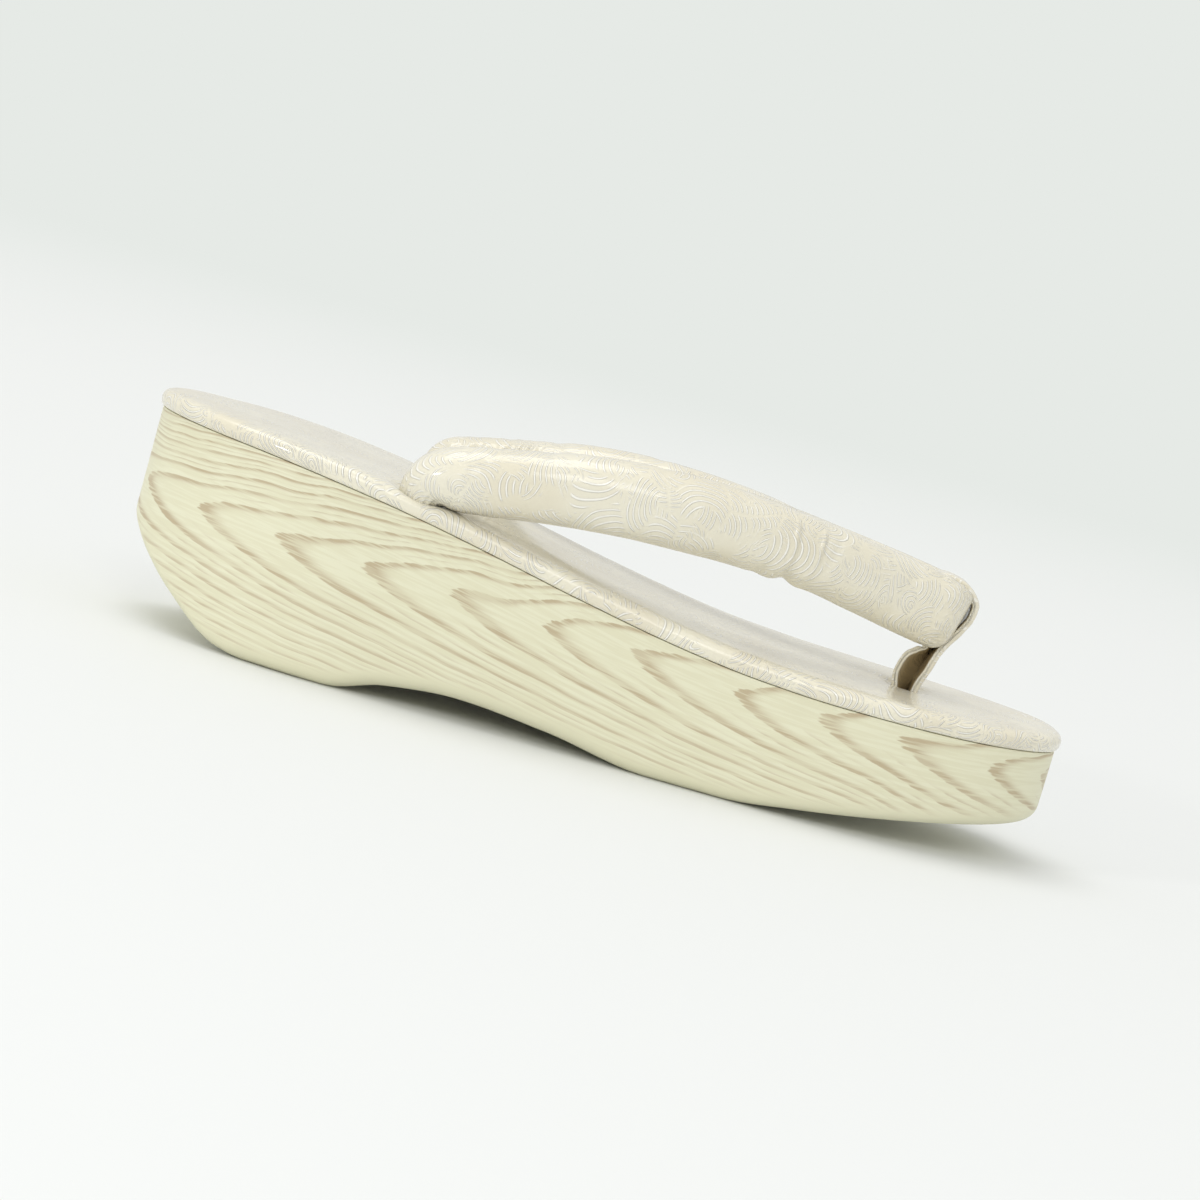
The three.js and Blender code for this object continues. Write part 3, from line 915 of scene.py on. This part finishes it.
def makeLoop(material):
    print("front loop")
    rows = loop["rows"]
    reach = [0.0]
    for a, b in zip(rows, rows[1:]):
        reach.append(reach[-1] + math.dist(a[:2], b[:2]))
    columns = [smoothCurve([(reach[i], row[k]) for i, row in enumerate(rows)]) for k in range(4)]
    total = reach[-1]
    bm = unitTube(loop["sides"], loop["rings"])
    surface = bm.loops.layers.uv.new("surface")
    inner = bm.verts.layers.float.new("inner")
    for face in bm.faces:
        for corner in face.loops:
            co = corner.vert.co
            across = co.y * loop["halfWidth"] + (loop["apart"] if co.x > 0.0 else 0.0)
            corner[surface].uv = ((co.z + 0.5) * total / uvSpan, across / uvSpan)
    for vert in bm.verts:
        length = (vert.co.z + 0.5) * total
        x, z, width, twist = (column(length) for column in columns)
        step = 0.6
        dx, dz = (column(length + step) - column(length - step) for column in columns[:2])
        ahead = Vector((dx, 0.0, dz)).normalized()
        inward = ahead.cross(Vector((0.0, 1.0, 0.0)))
        turn = Matrix.Rotation(math.radians(twist), 3, ahead)
        sideways = turn @ Vector((0.0, 1.0, 0.0))
        inward = turn @ inward
        size = vert.co.xy.length
        place = Vector((x, 0.0, z))
        if size > 0.5:
            c, s = vert.co.y / size, vert.co.x / size
            power = 2.0 / loop["power"]
            across = math.copysign(abs(c) ** power, c) * width / 2
            thick = math.copysign(abs(s) ** power, s) * loop["thickness"] / 2
            if s > 0.0:
                thick -= loop["fold"] * bump(across, 0.0, 0.5)
            thick *= 1.0 - 0.06 * bump(across, 0.0, 2.5)
            lift = 0.12 * noise.noise(Vector((length / 5.0, across / 4.0, 1.0)))
            place += sideways * across + inward * (thick + math.copysign(lift, s))
            vert[inner] = smooth(s, 0.15, 0.3) * smooth(width / 2 - abs(across), 0.2, 0.6)
        vert.co = place * mm
    return finishPiece(bm, "toe_loop", "front_loop", material)


# ---- stage and light ----

stage = {
    "floor": srgb(232, 234, 235),
    "far": srgb(230, 234, 230),
    "sky": (1.0, 1.0, 0.965, 1.0),
    "skyStrength": 0.75,
    "aim": (0.0, 0.0, 0.04),  # metres, where the lamps point
    "radius": 12.0,
    "fadeStart": 0.45,
    "fadeEnd": 2.2,
}


def makeStage():
    print("stage and light")
    bm = bmesh.new()
    bmesh.ops.create_circle(bm, cap_ends=True, segments=96, radius=stage["radius"])
    mesh = bpy.data.meshes.new("floor")
    bm.to_mesh(mesh)
    bm.free()
    floor = bpy.data.objects.new("floor", mesh)
    scene.collection.objects.link(floor)
    material, tree, shader = newMaterial("floorPaper")
    shader.inputs["Base Color"].default_value = stage["floor"]
    shader.inputs["Roughness"].default_value = 0.6
    shader.inputs["Specular IOR Level"].default_value = 0.2
    place = addNode(tree, "ShaderNodeTexCoord").outputs["Object"]
    away = addNode(tree, "ShaderNodeVectorMath", {0: place}, operation="LENGTH").outputs["Value"]
    far = remap(tree, away, stage["fadeStart"], stage["fadeEnd"])
    glow = addNode(tree, "ShaderNodeEmission", {"Color": stage["far"], "Strength": 1.0})
    mix = addNode(tree, "ShaderNodeMixShader", {0: far})
    tree.links.new(shader.outputs[0], mix.inputs[1])
    tree.links.new(glow.outputs[0], mix.inputs[2])
    tree.links.new(mix.outputs[0], tree.nodes["Material Output"].inputs["Surface"])
    mesh.materials.append(material)

    world = bpy.data.worlds.new("paleRoom")
    scene.world = world
    world.use_nodes = True
    tree = world.node_tree
    lit = tree.nodes["Background"]
    lit.inputs["Color"].default_value = stage["sky"]
    lit.inputs["Strength"].default_value = stage["skyStrength"]
    seen = addNode(tree, "ShaderNodeBackground", {"Color": stage["far"], "Strength": 1.0})
    toCamera = addNode(tree, "ShaderNodeLightPath").outputs["Is Camera Ray"]
    mix = addNode(tree, "ShaderNodeMixShader", {0: toCamera, 1: lit.outputs[0], 2: seen.outputs[0]})
    tree.links.new(mix.outputs[0], tree.nodes["World Output"].inputs["Surface"])


lights = [
    # name, kind, place it shines from (metres), size (degrees or metres), strength, colour
    ("skylight", "SUN", (-0.25, 0.1, 0.95), 40.0, 0.88, (1.0, 1.0, 0.98)),
    ("roomKey", "SUN", (0.1, -0.8, 0.62), 22.0, 0.38, (1.0, 0.995, 0.98)),
    ("window", "AREA", (-0.8, -0.95, 0.42), 0.12, 2.5, (1.0, 1.0, 1.0)),
]


def makeLights():
    for name, kind, place, size, power, color in lights:
        data = bpy.data.lights.new(name, kind)
        if kind == "SUN":
            data.angle = math.radians(size)
        else:
            data.shape = "DISK"
            data.size = size
        data.energy = power
        data.color = color
        lamp = bpy.data.objects.new(name, data)
        lamp.location = place
        aim = Vector(stage["aim"]) - Vector(place)
        lamp.rotation_euler = aim.to_track_quat("-Z", "Y").to_euler()
        scene.collection.objects.link(lamp)


# ---- put it together ----

scene.view_settings.view_transform = "Standard"
makeCamera()
scrollRelief = makeScrollRelief()
skinGrain = makeSkinGrain()
makeBase(makeWood("woodPrint"))
makeDeck(makeLeather("deckLeather", scrollRelief, skinGrain, leather["ivory"], 1.5))
makeStraps(makeLeather("strapLeather", scrollRelief, skinGrain, leather["strap"], 1.15))
makeLoop(makeLeather("loopLeather", scrollRelief, skinGrain, leather["loop"], 0.6, shadedInside=True))
makeStage()
makeLights()
